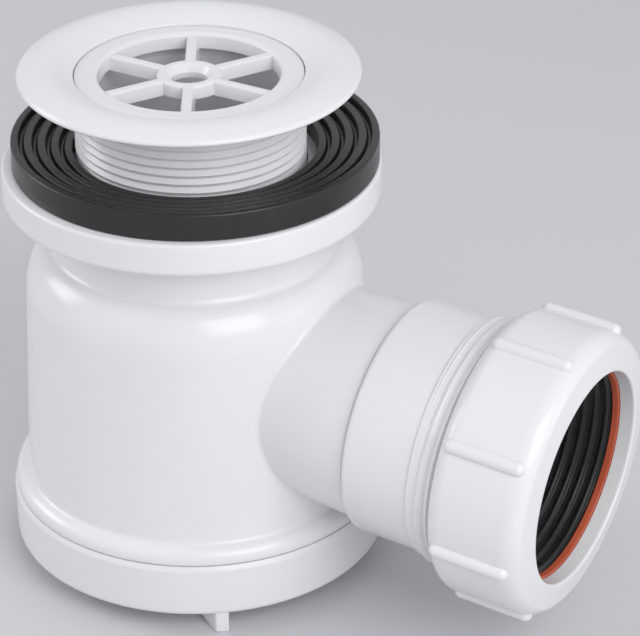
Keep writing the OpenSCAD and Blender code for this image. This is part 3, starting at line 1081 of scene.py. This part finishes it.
@dataclass
class TrapBase:
    """The welded base with its floor, weir cup and three feet."""

    outer_r: float = 40.2
    draft: float = 0.2
    ring_wall: float = 2.7
    seam_z: float = 12.3
    seam_step: float = 0.5
    seam_gap: float = 0.22
    seam_depth: float = 0.8
    chamfer_h: float = 1.2
    floor_t: float = 2.8
    edge_round: float = 1.6
    cup_r: float = 25.8
    cup_wall: float = 2.0
    cup_top_z: float = 58.6
    foot_h: float = 4.6
    foot_w: float = 2.8
    foot_len: float = 10.0
    foot_flat: float = 2.0
    foot_spread: float = 22.0
    foot_angles: tuple[float, ...] = (-52.0, 52.0, 180.0)

    def build(self, shop: Workshop) -> None:
        """Builds the base."""
        inner_r = self.outer_r - self.ring_wall
        outline = (
            Outline()
            .to(0.0, 0.0)
            .to(self.outer_r - self.draft, 0.0, self.edge_round)
            .to(self.outer_r, self.seam_z - self.chamfer_h, 1.1)
            .to(self.outer_r - self.seam_step, self.seam_z - self.seam_gap, 0.1)
            .to(self.outer_r - self.seam_step - self.seam_depth, self.seam_z - self.seam_gap)
            .to(self.outer_r - self.seam_step - self.seam_depth, self.seam_z)
            .to(inner_r, self.seam_z)
            .to(inner_r, self.floor_t, 0.5)
            .to(self.cup_r + self.cup_wall, self.floor_t, 0.5)
            .to(self.cup_r + self.cup_wall, self.cup_top_z, 0.5)
            .to(self.cup_r, self.cup_top_z, 0.5)
            .to(self.cup_r, self.floor_t, 0.5)
            .to(0.0, self.floor_t)
        )
        base = Shape.turned(outline.points(8))
        feet = [self.foot().moved(Matrix.Rotation(math.radians(a), 4, "Z")) for a in self.foot_angles]
        base.joined(feet, Join.ADD)
        shop.finish("base_moulding", base, "trap", Slot.WHITE, ("base_cap",))

    def foot(self) -> Shape:
        """Makes one foot at angle zero: a fin that widens inwards on one side and curves up."""
        edge, steps, turns = 0.35, 14, 3
        outer_x = self.outer_r - self.edge_round / 2
        curve = self.foot_len - self.foot_flat
        stations = [(0.0, edge), (edge * 0.3, edge * 0.3), (edge, 0.0)]
        stations += [(self.foot_flat + curve * i / steps, 0.0) for i in range(steps + 1)]
        rings = []
        for inwards, inset in stations:
            bend = max(0.0, (inwards - self.foot_flat) / curve)
            low = inset - self.foot_h * math.sqrt(1 - bend**2)
            half = self.foot_w / 2 - inset
            spread = inwards * math.tan(math.radians(self.foot_spread))
            side = [(half, self.floor_t / 2)]
            for k in range(turns + 1):
                t = math.pi / 2 * k / turns
                side.append((half - edge + edge * math.cos(t), min(low + edge - edge * math.sin(t), edge)))
            section = side + [(-y - spread, z) for y, z in reversed(side)]
            rings.append([Vector((outer_x - inwards, y, z)) for y, z in section])
        return Shape.lofted(rings, False)


@dataclass
class OutletSocket:
    """The socket welded to the stub, with its thread, and the rubber seal that it holds."""

    weld_s: float = 48.6
    weld_w: float = 0.5
    weld_r: float = 22.7
    outer_r: float = 25.05
    shoulder_round: float = 1.6
    thread_s: float = 64.2
    end_s: float = 84.6
    core_r: float = 25.6
    thread_depth: float = 0.9
    pitch: float = 2.2
    thread_start: float = 250.0
    stub_bore_r: float = 20.7
    pipe_r: float = 21.7
    stop_s: float = 56.1
    recess_r: float = 24.2
    recess_s: float = 74.15
    seal_r: float = 24.1
    seal_low_s: float = 74.2
    seal_high_s: float = 86.85
    seal_head_s: float = 84.65
    seal_head_r: float = 26.28
    ridge_r: float = 21.8
    ridge_h: float = 0.7
    ridge_count: int = 5

    def build(self, shop: Workshop) -> None:
        """Builds the socket, its thread and the rubber seal."""
        outline = (
            Outline()
            .to(self.stub_bore_r, self.weld_s)
            .to(self.stub_bore_r, self.stop_s)
            .to(self.pipe_r, self.stop_s)
            .to(self.pipe_r, self.recess_s)
            .to(self.recess_r, self.recess_s)
            .to(self.recess_r, self.end_s, 0.3)
            .to(self.core_r, self.end_s, 0.5)
            .to(self.core_r, self.thread_s, 0.3)
            .to(self.outer_r, self.thread_s, 0.1)
            .to(self.outer_r, self.weld_s + self.weld_w, self.shoulder_round)
            .to(self.weld_r, self.weld_s + self.weld_w, 0.1)
            .to(self.weld_r, self.weld_s)
        )
        socket = Shape.turned(outline.points(7)).moved(shop.outlet.matrix())
        shop.finish("socket_moulding", socket, "trap", Slot.WHITE, ("outlet_socket",))
        thread = shop.thread(self.core_r, self.pitch, self.thread_s + 0.8, self.end_s - 1.2,
                             self.thread_depth, self.thread_start)
        shop.finish("socket_thread", thread.moved(shop.outlet.matrix()), "trap", Slot.WHITE)
        self.build_seal(shop)

    def build_seal(self, shop: Workshop) -> None:
        """Builds the ridged rubber seal."""
        pitch = (self.seal_high_s - self.seal_low_s) / self.ridge_count
        outline = (
            Outline()
            .to(self.ridge_r + self.ridge_h, self.seal_low_s)
            .to(self.seal_r, self.seal_low_s, 0.3)
            .to(self.seal_r, self.seal_head_s)
            .to(self.seal_head_r, self.seal_head_s, 0.2)
            .to(self.seal_head_r, self.seal_high_s, 0.3)
            .to(self.ridge_r + self.ridge_h, self.seal_high_s, 0.1)
        )
        for i in range(self.ridge_count):
            top = self.seal_high_s - i * pitch
            outline.to(self.ridge_r + self.ridge_h, top - 0.2 * pitch, 0.25)
            outline.to(self.ridge_r, top - 0.42 * pitch, 0.3)
            outline.to(self.ridge_r, top - 0.58 * pitch, 0.3)
            outline.to(self.ridge_r + self.ridge_h, top - 0.8 * pitch, 0.25)
        seal = Shape.turned(outline.points(4)).moved(shop.outlet.matrix())
        shop.finish("ridged_seal", seal, "trap", Slot.RUBBER, ("outlet_seal",))


@dataclass
class CompressionNut:
    """The nut with its round back, tapered nose and grip lugs, and the slip washer in it."""

    back_s: float = 70.35
    front_s: float = 91.95
    body_r: float = 30.1
    back_round: float = 3.8
    nose_len: float = 5.0
    nose_in: float = 3.0
    mouth_r: float = 22.4
    seat_s: float = 88.45
    bore_r: float = 26.58
    lead_in: float = 2.2
    lug_count: int = 8
    lug_r: float = 1.5
    lug_h: float = 1.3
    lug_start: float = 14.7
    lug_back_s: float = 73.6
    lug_front_s: float = 87.95
    slip_back_s: float = 86.9
    slip_front_s: float = 88.4
    slip_hole_r: float = 22.0
    slip_r: float = 26.28

    def build(self, shop: Workshop) -> None:
        """Builds the nut and the slip washer."""
        nose_s = self.front_s - self.nose_len
        outline = (
            Outline()
            .to(self.mouth_r, self.seat_s, 0.2)
            .to(self.bore_r, self.seat_s)
            .to(self.bore_r, self.back_s + self.lead_in, 0.3)
            .arc((self.body_r - self.back_round, self.back_s + self.back_round),
                 (self.back_round, self.back_round), -72, 0)
            .arc((self.body_r - self.nose_in - 0.5, nose_s), (self.nose_in + 0.5, self.nose_len - 0.5), 0, 70)
            .to(self.mouth_r, self.front_s, 0.6)
        )
        nut = Shape.turned(outline.points())
        nut.joined([shop.ring(self.lug(), self.lug_count, 90 + self.lug_start)], Join.ADD)
        shop.finish("nut_moulding", nut.moved(shop.outlet.matrix()), "nut", Slot.WHITE, ("compression_nut",))
        ring = (
            Outline()
            .to(self.slip_hole_r, self.slip_back_s, 0.2)
            .to(self.slip_r, self.slip_back_s, 0.3)
            .to(self.slip_r, self.slip_front_s, 0.3)
            .to(self.slip_hole_r, self.slip_front_s, 0.3)
        )
        slip = Shape.turned(ring.points()).moved(shop.outlet.matrix())
        shop.finish("slip_ring_washer", slip, "slip_ring", Slot.ORANGE, ("slip_washer",))

    def lug(self) -> Shape:
        """Makes one grip lug: a bar with round ends, laid along the nut at angle zero."""
        outline = Outline()
        outline.arc((0.0, self.lug_back_s), (self.lug_r, self.lug_r), -90, 0, 6)
        outline.arc((0.0, self.lug_front_s), (self.lug_r, self.lug_r), 0, 90, 6)
        lug = Shape.turned(outline.points(), 24)
        return lug.moved(Matrix.Translation((self.body_r + self.lug_h - self.lug_r, 0.0, 0.0)))


def dress_inner_pieces() -> None:
    """Gives the inner pieces, whose own meshes stay, their finishes."""
    for node, slot in (("dip_tube", Slot.WHITE), ("dip_tube_ring", Slot.RUBBER)):
        data = frame["nodes"][node].data
        data.materials.clear()
        data.materials.append(FINISHES[slot].material())
        log.info("%s keeps its mesh", node)


@dataclass
class Studio:
    """Camera, lamps, backdrop and the settings of the view."""

    azimuth: float = 30.0
    elevation: float = 29.0
    roll: float = -0.36
    distance: float = 0.635
    focal_px: float = 3000.0
    image_width_px: float = 640.0
    sensor: float = 36.0
    aim_right: float = 0.02617
    aim_height: float = 0.04863
    floor_z: float = -0.0046
    floor_size: float = 6.0
    floor_colour: tuple[float, float, float] = (0.62, 0.63, 0.65)
    sky: float = 0.66

    def build(self) -> None:
        """Builds the camera, the lamps and the floor."""
        self.build_camera()
        self.build_floor()
        self.build_world()
        self.lamp("key", azimuth=60, elevation=32, distance=0.8, size=0.5, power=2.9)
        self.lamp("side", azimuth=100, elevation=15, distance=0.8, size=0.3, power=0.25)
        self.lamp("fill", azimuth=-75, elevation=24, distance=0.9, size=0.4, power=2.1)
        bpy.context.scene.view_settings.view_transform = "Standard"

    def direction(self, azimuth: float, elevation: float) -> Vector:
        """Gives the way from the object to a camera or lamp.

        Args:
            azimuth: Angle round the object in degrees, 0 on the -Y side.
            elevation: Angle above the floor in degrees.

        Returns:
            A vector of length one.
        """
        a, e = math.radians(azimuth), math.radians(elevation)
        return Vector((math.sin(a) * math.cos(e), -math.cos(a) * math.cos(e), math.sin(e)))

    def build_camera(self) -> None:
        """Places the camera where the photograph was taken from."""
        a, roll = math.radians(self.azimuth), math.radians(self.roll)
        back = self.direction(self.azimuth, self.elevation)
        level = Vector((math.cos(a), math.sin(a), 0.0))
        upright = back.cross(level)
        right = level * math.cos(roll) + upright * math.sin(roll)
        up = upright * math.cos(roll) - level * math.sin(roll)
        aim = level * self.aim_right + Vector((0.0, 0.0, self.aim_height))
        data = bpy.data.cameras.new("camera")
        data.sensor_width = self.sensor
        data.lens = self.focal_px / self.image_width_px * self.sensor
        camera = bpy.data.objects.new("camera", data)
        turn = Matrix((right, up, back)).transposed().to_4x4()
        camera.matrix_world = Matrix.Translation(aim + back * self.distance) @ turn
        bpy.context.scene.collection.objects.link(camera)
        bpy.context.scene.camera = camera

    def build_floor(self) -> None:
        """Lays a plain pale floor under the feet."""
        half = self.floor_size / 2
        mesh = bpy.data.meshes.new("floor")
        corners = [(-half, -half), (half, -half), (half, half), (-half, half)]
        mesh.from_pydata([(x, y, self.floor_z) for x, y in corners], [], [(0, 1, 2, 3)])
        finish = Finish("floor_paint", self.floor_colour, self.floor_colour, 0.75, 0.85,
                        grain_relief=0.0, wave_relief=0.0)
        mesh.materials.append(finish.material())
        floor = bpy.data.objects.new("floor", mesh)
        bpy.context.scene.collection.objects.link(floor)

    def build_world(self) -> None:
        """Lights the scene evenly from all round."""
        world = bpy.data.worlds.new("studio")
        world.use_nodes = True
        background = world.node_tree.nodes["Background"]
        background.inputs["Color"].default_value = (0.97, 0.985, 1.0, 1.0)
        background.inputs["Strength"].default_value = self.sky
        bpy.context.scene.world = world

    def lamp(self, name: str, azimuth: float, elevation: float, distance: float, size: float,
             power: float) -> None:
        """Adds a soft square lamp that faces the object.

        Args:
            name: Name of the lamp.
            azimuth: Angle round the object in degrees.
            elevation: Angle above the floor in degrees.
            distance: Distance from the object in metres.
            size: Side of the lamp in metres.
            power: Power in watts.
        """
        data = bpy.data.lights.new(name, "AREA")
        data.energy = power
        data.size = size
        away = self.direction(azimuth, elevation)
        lamp = bpy.data.objects.new(name, data)
        turn = away.to_track_quat("Z", "Y").to_matrix().to_4x4()
        lamp.matrix_world = Matrix.Translation(away * distance + Vector((0.0, 0.0, self.aim_height))) @ turn
        bpy.context.scene.collection.objects.link(lamp)


def main() -> None:
    """Builds every piece in order and lights it."""
    logging.basicConfig(level=logging.INFO, format="%(message)s")
    shop = Workshop()
    for part in (WasteFlange(), TrayWasher(), TrapBody(), TrapBase(), OutletSocket(), CompressionNut()):
        part.build(shop)
    dress_inner_pieces()
    Studio().build()


if __name__ == "__main__":
    main()
